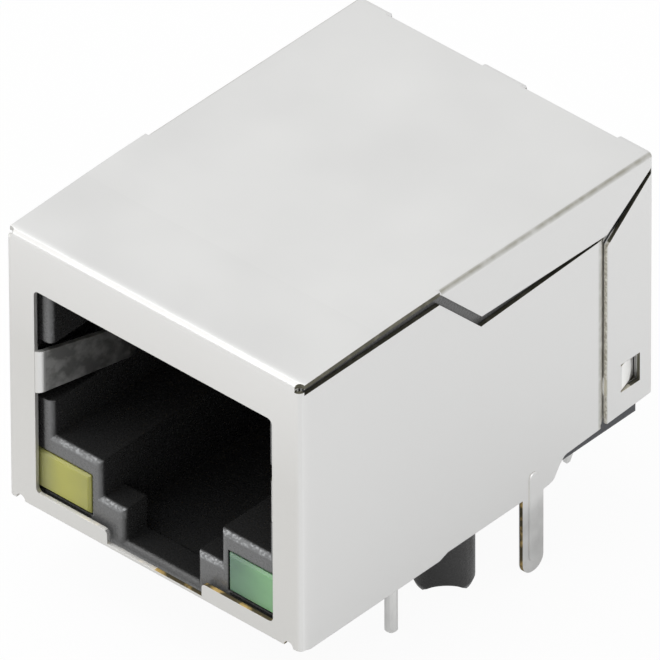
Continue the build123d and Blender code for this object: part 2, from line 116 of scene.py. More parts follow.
def place_group(tree, group, **inputs):
    """A copy of a group in a material, with its own values."""
    node = tree.nodes.new("ShaderNodeGroup")
    node.node_tree = group
    for key, value in inputs.items():
        node.inputs[key.replace("_", " ")].default_value = value
    return node


def math_node(tree, operation, a, b=0.0, clamp=False):
    """One Math node; a and b are numbers or sockets."""
    node = add_node(tree, "ShaderNodeMath", {0: a, 1: b}, operation=operation, use_clamp=clamp)
    return node.outputs[0]


def blend_colours(tree, factor, a, b):
    """Colour mixed from a to b by factor."""
    mix = add_node(tree, "ShaderNodeMix", data_type="RGBA")
    for socket, value in ((mix.inputs[0], factor), (mix.inputs[6], a), (mix.inputs[7], b)):
        if isinstance(value, bpy.types.NodeSocket):
            tree.links.new(value, socket)
        else:
            socket.default_value = value if isinstance(value, float) else (*value, 1)
    return mix.outputs[2]


print("helpers for materials and groups are ready")

# %% [markdown]
# ## Words for masks
# Most effects here are masks: values from 0 to 1 that say where a tone belongs. They could be painted
# as images, but a mask that is worked out from the place and the normal of each spot stays sharp at
# any distance and needs no unwrapping. These small helpers each stand for one or two nodes, so that a
# mask reads like the sentence that describes it.

# %% Helpers for masks
faces_along = 0.9  # a normal's share along an axis, from which a face counts as looking that way


def above(tree, value, limit):
    """1 where the value is over the limit, 0 elsewhere."""
    return math_node(tree, "GREATER_THAN", value, limit)


def below(tree, value, limit):
    """1 where the value is under the limit, 0 elsewhere."""
    return math_node(tree, "LESS_THAN", value, limit)


def magnitude(tree, value):
    """The value without its sign."""
    return math_node(tree, "ABSOLUTE", value)


def product(tree, *factors):
    """The factors multiplied: all the masks at once."""
    result = factors[0]
    for factor in factors[1:]:
        result = math_node(tree, "MULTIPLY", result, factor)
    return result


def strongest(tree, *masks):
    """The highest of the masks: any of them."""
    result = masks[0]
    for mask in masks[1:]:
        result = math_node(tree, "MAXIMUM", result, mask)
    return result


def spread(tree, value, low, high, to_low=0.0, to_high=1.0, **settings):
    """The value carried from the range low to high over to the range to_low to to_high."""
    inputs = {"Value": value, "From Min": low, "From Max": high, "To Min": to_low, "To Max": to_high}
    return add_node(tree, "ShaderNodeMapRange", inputs, **settings).outputs["Result"]


def parts(tree, vector):
    """The X, Y and Z sockets of a vector."""
    return add_node(tree, "ShaderNodeSeparateXYZ", {0: vector}).outputs


def own_place(tree):
    """The spot that is shaded, in its piece's own space."""
    return add_node(tree, "ShaderNodeTexCoord").outputs["Object"]


def place_and_facing(tree):
    """X, Y and Z of the spot that is shaded, and of its normal."""
    surface = add_node(tree, "ShaderNodeNewGeometry")
    return parts(tree, surface.outputs["Position"]), parts(tree, surface.outputs["Normal"])


def toward_front(tree):
    """How squarely a face looks out of the mouth's side: 1 if fully, -1 if it looks to the rear."""
    normal = add_node(tree, "ShaderNodeNewGeometry").outputs["Normal"]
    return add_node(tree, "ShaderNodeVectorMath", {0: normal, 1: (0, -1, 0)},
                    operation="DOT_PRODUCT").outputs["Value"]


def fine_relief(tree, height, strength, depth, normal):
    """The given normal, bent by a relief of this depth."""
    return add_node(tree, "ShaderNodeBump", {"Height": height, "Strength": strength, "Distance": depth,
                                             "Normal": normal}).outputs["Normal"]


print("helpers for masks are ready")

# %% [markdown]
# ## Rolled metal, as a group
# Sheet and wire are rolled or drawn, so their plating is never quite even: there is a slow change of
# tone over a few millimetres and a very fine grain. Both come from noise in object space. The same
# group serves the shield, the tinned pins and the gilt springs, each with its own scale.

# %% Group: rolled metal
rolled_metal, inlet, outlet = new_group(
    "rolled_metal",
    {"Cloud Scale": 200.0, "Grain Scale": 9000.0},
    {"Cloud": "NodeSocketFloat", "Grain": "NodeSocketFloat"},
)
place = own_place(rolled_metal)
cloud = add_node(rolled_metal, "ShaderNodeTexNoise",
                 {"Vector": place, "Scale": inlet.outputs["Cloud Scale"], "Detail": 3.0})
grain = add_node(rolled_metal, "ShaderNodeTexNoise",
                 {"Vector": place, "Scale": inlet.outputs["Grain Scale"], "Detail": 2.0})
rolled_metal.links.new(cloud.outputs["Fac"], outlet.inputs["Cloud"])
rolled_metal.links.new(grain.outputs["Fac"], outlet.inputs["Grain"])
print("group:", rolled_metal.name)

# %% [markdown]
# ## Softened edges, as a group
# No stamped or moulded edge is perfectly sharp, and the light it catches is what makes it look
# real. The Bevel node bends the shading normal near an edge without touching the mesh, and the
# difference from the true normal tells how near the edge is.

# %% Group: soft edge
edge_contrast = 6.0
soft_edge, inlet, outlet = new_group(
    "soft_edge",
    {"Radius": 0.05 * mm},
    {"Edge": "NodeSocketFloat", "Normal": "NodeSocketVector"},
)
rounded = add_node(soft_edge, "ShaderNodeBevel", {"Radius": inlet.outputs["Radius"]}, samples=6)
flat = add_node(soft_edge, "ShaderNodeNewGeometry").outputs["Normal"]
alike = add_node(soft_edge, "ShaderNodeVectorMath", {0: rounded.outputs[0], 1: flat},
                 operation="DOT_PRODUCT")
bend = math_node(soft_edge, "SUBTRACT", 1.0, alike.outputs["Value"])
edge = math_node(soft_edge, "MULTIPLY", bend, edge_contrast, clamp=True)
soft_edge.links.new(edge, outlet.inputs["Edge"])
soft_edge.links.new(rounded.outputs[0], outlet.inputs["Normal"])
print("group:", soft_edge.name)

# %% [markdown]
# ## Moulded grain, as a group
# The black mouldings are spark eroded in the tool and filled with glass, so they have a fine pebbled
# grain. Small Voronoi cells give the pebbles, and a noise breaks them up and picks the specks that the
# finishes use for a painted glitter on edges.

# %% Group: moulded grain
faintest_speck = 0.25
moulded_grain, inlet, outlet = new_group(
    "moulded_grain",
    {"Pebble Scale": 9000.0},
    {"Height": "NodeSocketFloat", "Speck": "NodeSocketFloat"},
)
place = own_place(moulded_grain)
pebble = add_node(moulded_grain, "ShaderNodeTexVoronoi",
                  {"Vector": place, "Scale": inlet.outputs["Pebble Scale"]})
rough = add_node(moulded_grain, "ShaderNodeTexNoise",
                 {"Vector": place, "Scale": inlet.outputs["Pebble Scale"], "Detail": 2.0})
height = math_node(moulded_grain, "ADD", pebble.outputs["Distance"], rough.outputs["Fac"])
speck = spread(moulded_grain, rough.outputs["Fac"], 0.45, 0.68, to_low=faintest_speck)
moulded_grain.links.new(height, outlet.inputs["Height"])
moulded_grain.links.new(speck, outlet.inputs["Speck"])
print("group:", moulded_grain.name)

# %% [markdown]
# ## Roundings, as a group
# Every flat of a moulding looks along X, Y or Z, so a spot whose normal lies between them is on a
# rounding. That is where the finishes paint a highlight with the grain, on upper edges most of all,
# where the light falls. The pegs and the floor's lip, below the lowest height, stay plain.

# %% Group: rounding
squarely_flat, fully_round = 0.99, 0.9
under_edge_share = 0.2
rounding, inlet, outlet = new_group("rounding", {"Strength": 1.0, "Lowest": 1.5 * mm},
                                    {"Round": "NodeSocketFloat"})
spot, look = place_and_facing(rounding)
squarest = strongest(rounding, *(magnitude(rounding, look[axis]) for axis in "XYZ"))
between = spread(rounding, squarest, squarely_flat, fully_round)
high_enough = above(rounding, spot["Z"], inlet.outputs["Lowest"])
# painted highlight: stronger on edges that face up toward the light
upper = spread(rounding, look["Z"], 0.0, 0.5, to_low=under_edge_share)
rounded_part = product(rounding, between, high_enough, upper, inlet.outputs["Strength"])
rounding.links.new(rounded_part, outlet.inputs["Round"])
print("group:", rounding.name)

# %% [markdown]
# ## Landmarks on the shield
# The shield's effects need places: its outer planes, the free side edge of the top, the step in front
# of the rear flap, the springs beside the mouth and the lance. They are set down once here, from the
# board's plane, the middle plane or the mouth's plane, and the masks below refer to them by name.

# %% Landmarks
shell_low, shell_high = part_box("shield_shell")
side_wall = 7.95 * mm
wall_inside = 7.4 * mm
wall_top = 10.7 * mm
top_level = 13.38 * mm
top_edges = top_level - 0.25 * mm
free_edge_start = shell_low.y + 0.3 * mm
free_edge_end = shell_low.y + 8.4 * mm
slit_start = shell_low.y + 8.45 * mm
top_fold_place = 7.86 * mm
step_fold_place = shell_low.y + 18.15 * mm
step_cut_place = shell_low.y + 18.2 * mm
corner_hole = (side_wall - 0.08 * mm, shell_low.y + 0.08 * mm, top_level - 0.08 * mm)
corner_hole_reach = 0.24 * mm
spring_root, spring_end = shell_low.y + 0.35 * mm, shell_low.y + 10.0 * mm
spring_outside, spring_top = 6.45 * mm, 8.1 * mm
lance_middle = (7.75 * mm, shell_low.y + 19.23 * mm, 3.02 * mm)
lance_reach = 0.95 * mm
wall_skin = 7.93 * mm
print("mouth's plane and rear plane in mm:", round(shell_low.y / mm, 2), round(shell_high.y / mm, 2))

# %% [markdown]
# ## Cut faces, as a group
# The shield is stamped from strip that was plated first, so its cut faces are bare, and the tin plate
# finish gives them a dark, warm tone that is bare metal and painted shade together. A cut face is one
# that lies within the sheet's thickness of an outer face but doesn't look the way that outer face
# looks. Position and normal tell them apart, so no face needs marking.

# %% Group: cut face
turned_away, nearly_level = 0.3, 0.85
cut_face, inlet, outlet = new_group("cut_face", {"Depth": 0.16 * mm}, {"Cut": "NodeSocketFloat"})
spot, look = place_and_facing(cut_face)


def away_from(axis, outer):
    """1 on faces within Depth of an outer plane that don't look along its axis."""
    reach = magnitude(cut_face, spot["X"]) if axis == "X" else spot[axis]
    distance = magnitude(cut_face, math_node(cut_face, "SUBTRACT", outer, reach))
    near = below(cut_face, distance, inlet.outputs["Depth"])
    turned = below(cut_face, magnitude(cut_face, look[axis]), turned_away)
    return product(cut_face, near, turned)


below_top = below(cut_face, spot["Z"], top_edges)
level = above(cut_face, magnitude(cut_face, look["Z"]), nearly_level)
cut = product(cut_face, below_top, level)
for axis, outer in (("X", side_wall), ("Y", shell_low.y), ("Y", shell_high.y)):
    cut = strongest(cut_face, cut, product(cut_face, away_from(axis, outer), below_top))

# the top's free side edges, in front of the flaps
beside_mouth = product(cut_face, below(cut_face, spot["Y"], free_edge_end),
                       above(cut_face, spot["Y"], free_edge_start))
at_top = above(cut_face, spot["Z"], top_level - 0.23 * mm)
sideways = above(cut_face, magnitude(cut_face, look["X"]), faces_along)
cut = strongest(cut_face, cut, product(cut_face, beside_mouth, at_top, sideways))

# the small relief holes where three folds would meet: their cut faces, and painted shade on the sheet
# round each hole
either_hand = add_node(cut_face, "ShaderNodeCombineXYZ",
                       {0: magnitude(cut_face, spot["X"]), 1: spot["Y"], 2: spot["Z"]})
from_corner = add_node(cut_face, "ShaderNodeVectorMath", {0: either_hand.outputs[0], 1: corner_hole},
                       operation="DISTANCE")
at_hole = below(cut_face, from_corner.outputs["Value"], corner_hole_reach)
cut_face.links.new(strongest(cut_face, cut, at_hole), outlet.inputs["Cut"])
print("group:", cut_face.name)

# %% [markdown]
# ## Painted fold shade, as a group
# Sharp folds of the shield get painted shade: the outside of the fold turns a little darker and
# warmer, broken up along its length. The group marks a straight band between two places on one
# axis, with a ragged strength.

# %% Group: painted fold shade
weakest_mark = 0.45
fold_shade, inlet, outlet = new_group(
    "fold_shade",
    {"Place": 0.0, "Half Width": 0.1 * mm, "Raggedness": 2500.0},
    {"Mark": "NodeSocketFloat"},
)
fold_shade.interface.new_socket("Measured", in_out="INPUT", socket_type="NodeSocketFloat")
# painted shade: a ragged dark band along a fold
offset = math_node(fold_shade, "SUBTRACT", inlet.outputs["Measured"], inlet.outputs["Place"])
share = math_node(fold_shade, "DIVIDE", magnitude(fold_shade, offset), inlet.outputs["Half Width"])
inside = math_node(fold_shade, "SUBTRACT", 1.0, share, clamp=True)
full_middle = math_node(fold_shade, "POWER", inside, 0.5)
ragged = add_node(fold_shade, "ShaderNodeTexNoise",
                  {"Vector": own_place(fold_shade), "Scale": inlet.outputs["Raggedness"], "Detail": 3.0})
broken = spread(fold_shade, ragged.outputs["Fac"], 0.25, 0.6, to_low=weakest_mark)
fold_shade.links.new(product(fold_shade, full_middle, broken), outlet.inputs["Mark"])
print("group:", fold_shade.name)

# %% [markdown]
# ## Crowned folds, as a group
# Strip never folds to a clean quarter circle: the flats beside the fold stay slightly crowned, so the
# bright line along it fades out softly. The group leans the normal of each flat toward the fold,
# more the nearer it is. It serves the front panel's folds to the top and to the side walls.

# %% Group: crowned fold
crowned_fold, inlet, outlet = new_group("crowned_fold", {"Reach": 0.7 * mm, "Lean": 0.45},
                                        {"Normal": "NodeSocketVector"})
crowned_fold.interface.new_socket("Given", in_out="INPUT", socket_type="NodeSocketVector")
spot, look = place_and_facing(crowned_fold)


def lean_near(coordinate, line, direction):
    """The full Lean at the line, falling smoothly to 0 at Reach inside it."""
    inward = product(crowned_fold, math_node(crowned_fold, "SUBTRACT", line, coordinate), direction)
    share = math_node(crowned_fold, "DIVIDE", inward, inlet.outputs["Reach"])
    near = math_node(crowned_fold, "SUBTRACT", 1.0, share, clamp=True)
    return product(crowned_fold, near, near, inlet.outputs["Lean"])


hand = math_node(crowned_fold, "SIGN", spot["X"])
on_front = below(crowned_fold, look["Y"], -faces_along)
on_roof = above(crowned_fold, look["Z"], faces_along)
on_side = above(crowned_fold, product(crowned_fold, look["X"], hand), faces_along)
to_roof = lean_near(spot["Z"], shell_high.z, 1.0)
to_side = lean_near(magnitude(crowned_fold, spot["X"]), shell_high.x, 1.0)
to_front = lean_near(spot["Y"], shell_low.y, -1.0)
leaning = add_node(crowned_fold, "ShaderNodeCombineXYZ", {
    0: product(crowned_fold, on_front, to_side, hand),
    1: product(crowned_fold, to_front, strongest(crowned_fold, on_roof, on_side), -1.0),
    2: product(crowned_fold, on_front, to_roof),
})
summed = add_node(crowned_fold, "ShaderNodeVectorMath",
                  {0: inlet.outputs["Given"], 1: leaning.outputs[0]}, operation="ADD")
unit = add_node(crowned_fold, "ShaderNodeVectorMath", {0: summed.outputs[0]}, operation="NORMALIZE")
crowned_fold.links.new(unit.outputs[0], outlet.inputs["Normal"])
print("group:", crowned_fold.name)

# %% [markdown]
# ## Tin plate: the tones of the faces
# The shield is satin, light grey and nearly free of colour. One even tone would look like paint, so
# the tone drifts by a percent or two with the rolled metal. The front panel has painted shade: darker
# and warmer at its foot, paler toward the top. The side walls get a paler tone of their own, which is
# painted light, and the round of the fold between the front panel and the top is darkened, a painted
# shade that softens its bright line.

# %% Tin plate: tones
tin_plate, tree, shader = new_finish("tin_plate", (0.75, 0.75, 0.74), 0.36, metallic=1.0)
metal = place_group(tree, rolled_metal, Cloud_Scale=160.0, Grain_Scale=12000.0)
spot = parts(tree, own_place(tree))
look = parts(tree, add_node(tree, "ShaderNodeNewGeometry").outputs["Normal"])
side_reach = magnitude(tree, spot["X"])
tone = blend_colours(tree, metal.outputs["Cloud"], (0.725, 0.725, 0.718), (0.775, 0.775, 0.765))

# painted shade: the front panel darker and warmer at its foot, paler under the top
painted_shade_panel_foot, painted_light_panel_head = (0.7, 0.693, 0.672), (0.79, 0.785, 0.77)
shade_foot, shade_head = 8.0 * mm, 13.0 * mm
up_panel = spread(tree, spot["Z"], shade_foot, shade_head)
painted_panel_shading = blend_colours(tree, up_panel, painted_shade_panel_foot, painted_light_panel_head)
tone = blend_colours(tree, spread(tree, toward_front(tree), 0.75, 0.98), tone, painted_panel_shading)

# painted light: the side walls a little paler than the top
painted_wall_light = (0.775, 0.775, 0.768)
tone = blend_colours(tree, above(tree, magnitude(tree, look["X"]), faces_along), tone, painted_wall_light)

# painted shade: the round of the fold between front panel and top, darkened to soften its highlight
painted_crease_shade = (0.4, 0.398, 0.39)
past_roof = spread(tree, look["Y"], -0.01, -0.2)
short_of_panel = spread(tree, look["Z"], 0.5, 0.8)
crease_drop = 0.6 * mm
near_top = above(tree, spot["Z"], top_level - crease_drop)
tone = blend_colours(tree, product(tree, past_roof, short_of_panel, near_top), tone, painted_crease_shade)
print("tones: top, front panel, side walls and front crease")

# %% [markdown]
# ## Tin plate: painted fold shade
# The top's side folds behind the free edge, and the step in front of each rear flap, get painted
# shade: the ragged band of the group above, measured from the middle plane for the first and along
# the jack for the second.

# %% Tin plate: painted fold shade
# painted shade on the top's side folds and on the rear steps
fold_shade_tone = (0.36, 0.35, 0.3)
top_fold = place_group(tree, fold_shade, Place=top_fold_place, Half_Width=0.085 * mm,
                       Raggedness=1500.0)
tree.links.new(side_reach, top_fold.inputs["Measured"])
on_top_fold = product(tree, top_fold.outputs["Mark"], above(tree, spot["Z"], top_edges),
                      above(tree, spot["Y"], slit_start))

step_fold = place_group(tree, fold_shade, Place=step_fold_place, Half_Width=0.3 * mm,
                        Raggedness=2500.0)
tree.links.new(spot["Y"], step_fold.inputs["Measured"])
on_wall = product(tree, above(tree, side_reach, wall_inside), below(tree, spot["Z"], wall_top))
on_step = product(tree, step_fold.outputs["Mark"], on_wall)
tone = blend_colours(tree, strongest(tree, on_top_fold, on_step), tone, fold_shade_tone)
print("fold marks: top's side folds and rear steps")

# %% [markdown]
# ## Tin plate: tabs, springs and lances
# The solder tabs are dull and blotched where they were dipped. The springs beside the mouth get
# painted shade inside the mouth, blotched by noise, and the lances get painted light. Each could be a
# material of its own, but the shield is one piece of sheet, so masks by place tint them within one
# finish.

# %% Tin plate: tabs, springs and lances
dipped = place_group(tree, rolled_metal, Cloud_Scale=1400.0, Grain_Scale=12000.0)
dull_tone = blend_colours(tree, dipped.outputs["Cloud"], (0.5, 0.5, 0.495), (0.72, 0.72, 0.71))
dipped_from = -0.8 * mm
tone = blend_colours(tree, spread(tree, spot["Z"], 0.0, dipped_from), tone, dull_tone)

# painted shade on the springs inside the mouth, broken up by noise
at_springs = product(tree, below(tree, side_reach, spring_outside), above(tree, spot["Y"], spring_root),
                     below(tree, spot["Y"], spring_end), below(tree, spot["Z"], spring_top))
spring_shade_breakup = spread(tree, dipped.outputs["Cloud"], 0.42, 0.6)
spring_painted_shade = blend_colours(tree, spring_shade_breakup, (0.34, 0.34, 0.335), (0.66, 0.66, 0.65))
tone = blend_colours(tree, at_springs, tone, spring_painted_shade)

# painted light on the sunk faces of the lances
lance_painted_light = (0.97, 0.97, 0.96)
either_hand = add_node(tree, "ShaderNodeCombineXYZ", {0: side_reach, 1: spot["Y"], 2: spot["Z"]})
from_lance = add_node(tree, "ShaderNodeVectorMath", {0: either_hand.outputs[0], 1: lance_middle},
                      operation="DISTANCE")
at_lance = below(tree, from_lance.outputs["Value"], lance_reach)
pressed_in = product(tree, at_lance, below(tree, side_reach, wall_skin))
tone = blend_colours(tree, pressed_in, tone, lance_painted_light)
print("tints: solder tabs, mouth springs and lances")

# %% [markdown]
# ## Tin plate: cut faces
# A bare edge could be one dark line, but it would look drawn on. So the edges high up are dark olive,
# which is bare metal and painted shade of the slits together, and those near the board are dark with
# painted golden glints. The cut along the rear step and the lance's own cut get painted light, pale
# with a sheared grain. The left half of the shield shows its cuts only faintly.

# %% Tin plate: cut faces
bare = place_group(tree, rolled_metal, Cloud_Scale=1800.0, Grain_Scale=9000.0)
# painted glints: noise picks the spots that turn golden or paler
painted_glint = spread(tree, bare.outputs["Cloud"], 0.48, 0.66)
golden = blend_colours(tree, painted_glint, (0.09, 0.075, 0.045), (0.5, 0.36, 0.14))
olive = blend_colours(tree, painted_glint, (0.13, 0.125, 0.095), (0.2, 0.19, 0.15))
golden_top = 1.6 * mm
# bare metal and painted shade together: olive high up, with painted golden glints near the board
bare_and_shaded_cut_tone = blend_colours(tree, above(tree, spot["Z"], golden_top), golden, olive)

sheared = spread(tree, bare.outputs["Grain"], 0.35, 0.65)
# painted light on the cut along the rear step
step_cut_painted_light = blend_colours(tree, sheared, (0.6, 0.57, 0.5), (0.95, 0.93, 0.87))
at_step = math_node(tree, "COMPARE", spot["Y"], step_cut_place)
step_half_width = 0.35 * mm
at_step.node.inputs[2].default_value = step_half_width
bare_and_shaded_cut_tone = blend_colours(tree, product(tree, at_step, on_wall), bare_and_shaded_cut_tone, step_cut_painted_light)
# painted light on the lance's cut
lance_cut_painted_light = (0.75, 0.72, 0.63)
bare_and_shaded_cut_tone = blend_colours(tree, at_lance, bare_and_shaded_cut_tone, lance_cut_painted_light)

left_hand_share = 0.3
cuts = place_group(tree, cut_face)
# the cut tone at full strength on the right half, at left_hand_share on the left half
cut_share_by_side = spread(tree, above(tree, spot["X"], 0.0), 0.0, 1.0, to_low=left_hand_share)
shown = product(tree, cuts.outputs["Cut"], cut_share_by_side)
tree.links.new(blend_colours(tree, shown, tone, bare_and_shaded_cut_tone), shader.inputs["Base Color"])
print("cut faces: golden, olive, step and lance")

# %% [markdown]
# ## Tin plate: gloss and grain
# Gloss and grain could be left plain, but then the sheet would mirror like glass. Its roughness drifts
# with the tone and rises on cut and pressed faces. The grain is a relief of a hundredth of a
# millimetre, laid over the softened edges. The crowned folds come last and lean the finished normal.

# %% Tin plate: gloss and grain
cut_roughness, pressed_roughness = 0.6, 0.75
gloss = spread(tree, metal.outputs["Cloud"], 0.3, 0.7, to_low=0.33, to_high=0.4)
roughest = strongest(tree, gloss, product(tree, cuts.outputs["Cut"], cut_roughness),
                     product(tree, pressed_in, pressed_roughness))
tree.links.new(roughest, shader.inputs["Roughness"])
softened = place_group(tree, soft_edge, Radius=0.03 * mm)
crowned = place_group(tree, crowned_fold)
tree.links.new(fine_relief(tree, metal.outputs["Grain"], 0.06, 0.01 * mm, softened.outputs["Normal"]),
               crowned.inputs["Given"])
tree.links.new(crowned.outputs["Normal"], shader.inputs["Normal"])
print("finish:", tin_plate.name)

# %% [markdown]
# ## Black mouldings
# The front housing, the insert and the rear case are the same kind of plastic in slightly different
# shades. Their faces are near black and dull. Their rounded edges get painted highlights: the edge
# mask and the specks of the grain work together to lighten only the edges with grey glints. The
# housing's front faces, and its faces beside the shield, get painted light and are paler than the
# walls of its mouth; the recess at each side and the faces under the lamps keep the dark tone, a
# painted shade.

# %% Moulded finishes
lamp_low, lamp_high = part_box("lamp_left")
recess_start, recess_end = 6.22 * mm, 6.34 * mm
beside_shield = 7.6 * mm
speck_gloss = -0.12


def moulded(name, base, edge_highlight_tone, roughness, pebble_scale, edge_strength=1.0, round_strength=0.0,
            painted_front_light=None):
    """Grained plastic with painted highlights on its edges, and painted light on its front faces and
    beside the shield when a pale front tone is given.
    """
    finish, tree, shader = new_finish(name, base, roughness)
    grain = place_group(tree, moulded_grain, Pebble_Scale=pebble_scale)
    softened = place_group(tree, soft_edge, Radius=0.15 * mm)
    rounded_part = place_group(tree, rounding, Strength=round_strength)
    sharp_part = product(tree, softened.outputs["Edge"], edge_strength)
    # painted highlight: grain specks lighten the rounded and sharp edges
    painted_glitter = product(tree, strongest(tree, sharp_part, rounded_part.outputs["Round"]),
                      grain.outputs["Speck"])

    spot, _ = place_and_facing(tree)
    outward = magnitude(tree, spot["X"])
    # painted light on faces that look out of the mouth and beside the shield; the recess and the faces
    # under the lamps keep the dark tone as painted shade
    recess = spread(tree, outward, recess_start, recess_end)
    under_lamp = product(tree, below(tree, spot["Z"], lamp_low.z), above(tree, outward, -lamp_high.x))
    open_front = math_node(tree, "SUBTRACT", 1.0, strongest(tree, recess, under_lamp), clamp=True)
    facing = product(tree, spread(tree, toward_front(tree), 0.5, 0.95), open_front)
    body_tone = blend_colours(tree, facing, base, painted_front_light or base)
    body_tone = blend_colours(tree, above(tree, outward, beside_shield), body_tone, painted_front_light or base)
    tree.links.new(blend_colours(tree, painted_glitter, body_tone, edge_highlight_tone), shader.inputs["Base Color"])

    wear = math_node(tree, "MULTIPLY_ADD", grain.outputs["Speck"], speck_gloss)
    wear.node.inputs[2].default_value = roughness
    tree.links.new(wear, shader.inputs["Roughness"])
    pebbled = fine_relief(tree, grain.outputs["Height"], 0.35, 0.02 * mm, softened.outputs["Normal"])
    tree.links.new(pebbled, shader.inputs["Normal"])
    return finish


housing_black = moulded("housing_black", (0.026, 0.026, 0.026), (0.46, 0.47, 0.48), roughness=0.34,
                        pebble_scale=9000.0, edge_strength=0.0, round_strength=1.0,
                        painted_front_light=(0.14, 0.141, 0.142))
insert_black = moulded("insert_black", (0.02, 0.02, 0.021), (0.12, 0.12, 0.12), roughness=0.45,
                       pebble_scale=9000.0)
case_grey = moulded("case_grey", (0.05, 0.052, 0.06), (0.15, 0.15, 0.16), roughness=0.45,
                    pebble_scale=8000.0)
print("finishes:", housing_black.name, insert_black.name, case_grey.name)

# %% [markdown]
# ## Lamp lenses
# Each lamp is a rectangular lens of milky resin. The resin scatters light, so it looks filled with
# colour. Subsurface scattering gives the milky body, and a slow blend along X with some noise makes
# the face brighter toward one end and uneven.

# %% Lens finishes
unevenness = 0.5


def lens(name, node, dim, bright, peak_share, end_share):
    """Milky resin, brightest at one share of the node's own width."""
    finish, tree, shader = new_finish(name, bright, 0.3)
    low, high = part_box(node)
    along = parts(tree, own_place(tree))["X"]
    peak = low.x + peak_share * (high.x - low.x)
    rise = spread(tree, along, low.x, peak, interpolation_type="SMOOTHSTEP")
    fall = spread(tree, along, peak, high.x, to_low=1.0, to_high=end_share)
    milk = place_group(tree, rolled_metal, Cloud_Scale=900.0, Grain_Scale=5000.0)
    uneven = math_node(tree, "MULTIPLY_ADD", milk.outputs["Cloud"], unevenness)
    uneven.node.inputs[2].default_value = -unevenness / 2
    filled = math_node(tree, "ADD", product(tree, rise, fall), uneven, clamp=True)
    tree.links.new(blend_colours(tree, filled, dim, bright), shader.inputs["Base Color"])
    shader.inputs["Subsurface Weight"].default_value = 0.5
    shader.inputs["Subsurface Radius"].default_value = (0.5, 0.5, 0.25)
    shader.inputs["Subsurface Scale"].default_value = 0.6 * mm
    shader.inputs["Coat Weight"].default_value = 0.15
    shader.inputs["Coat Roughness"].default_value = 0.1
    softened = place_group(tree, soft_edge, Radius=0.06 * mm)
    frosted = fine_relief(tree, milk.outputs["Grain"], 0.1, 0.01 * mm, softened.outputs["Normal"])
    tree.links.new(frosted, shader.inputs["Normal"])
    return finish


lens_yellow = lens("lens_yellow", "lamp_left", (0.255, 0.255, 0.095), (0.45, 0.44, 0.083),
                   peak_share=0.55, end_share=0.6)
lens_green = lens("lens_green", "lamp_right", (0.11, 0.215, 0.142), (0.24, 0.49, 0.24),
                  peak_share=0.95, end_share=1.0)
print("finishes:", lens_yellow.name, lens_green.name)

# %% [markdown]
# ## Drawn and plated wire
# Pins and lamp leads are tinned, springs are gilt and the toroids' wire is enamelled. All are small,
# smooth and metallic, with the same drifting tone as the sheet at a smaller scale. The cores, the
# chips and the board inside reuse the moulded finish in their own colours.

# %% Wire finishes


def plated(name, dark, light, roughness):
    """Plated wire or strip with a gently drifting tone."""
    finish, tree, shader = new_finish(name, light, roughness, metallic=1.0)
    metal = place_group(tree, rolled_metal, Cloud_Scale=1200.0, Grain_Scale=14000.0)
    tree.links.new(blend_colours(tree, metal.outputs["Cloud"], dark, light), shader.inputs["Base Color"])
    gloss = spread(tree, metal.outputs["Cloud"], 0.0, 1.0, to_low=roughness - 0.06,
                   to_high=roughness + 0.08)
    tree.links.new(gloss, shader.inputs["Roughness"])
    softened = place_group(tree, soft_edge, Radius=0.04 * mm)
    drawn = fine_relief(tree, metal.outputs["Grain"], 0.05, 0.01 * mm, softened.outputs["Normal"])
    tree.links.new(drawn, shader.inputs["Normal"])
    return finish


tinned = plated("tinned", (0.78, 0.78, 0.77), (0.92, 0.92, 0.91), 0.32)
gilt = plated("gilt", (0.72, 0.5, 0.2), (0.86, 0.64, 0.3), 0.24)
enamelled_copper = plated("enamelled_copper", (0.4, 0.13, 0.05), (0.62, 0.25, 0.11), 0.3)
ferrite = moulded("ferrite", (0.035, 0.034, 0.036), (0.12, 0.12, 0.13), 0.55, 7000.0)
resistor_glaze = moulded("resistor_glaze", (0.02, 0.02, 0.022), (0.08, 0.08, 0.08), 0.35, 6000.0)
capacitor_ceramic = moulded("capacitor_ceramic", (0.42, 0.3, 0.18), (0.5, 0.4, 0.26), 0.5, 6000.0)
board_lacquer = moulded("board_lacquer", (0.02, 0.12, 0.05), (0.05, 0.2, 0.1), 0.35, 5000.0)
print("finishes:", tinned.name, gilt.name, enamelled_copper.name, ferrite.name)

# %% [markdown]
# ## Finishes by slot
# The record gives every piece a slot name, such as shield or contact, and pieces of one kind share
# it. A table from slot to finish is shorter than a line for each piece, and it covers a piece that
# is added later without another edit.

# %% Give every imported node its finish
finish_of_slot = {
    "shield": tin_plate, "housing": housing_black, "insert": insert_black, "case": case_grey,
    "lamp_yellow": lens_yellow, "lamp_green": lens_green, "tinned_wire": tinned, "contact": gilt,
    "core": ferrite, "winding": enamelled_copper, "resistor": resistor_glaze,
    "capacitor": capacitor_ceramic, "board": board_lacquer,
}
for entry in frame["record"]["subparts"]:
    piece = nodes[entry["node"]]
    while len(piece.material_slots) < 1:
        piece.data.materials.append(None)
    for material_slot in piece.material_slots:
        material_slot.material = finish_of_slot[entry["material_slot"]]

# %% [markdown]
# ## Copper wire on the toroids
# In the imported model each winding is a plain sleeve. The real one is a fine wire passed round and
# round the ring, so each sleeve is replaced by one curve that spirals round the ring's section. A
# curve with a round bevel keeps the wire smooth with few points.

# %% Wind the toroids
wire_radius = 0.065 * mm
wound_bore = 0.75 * mm
turns = 22
points_per_turn = 12
first_angle, wound_angle = 25, 310
toroid_count = 8


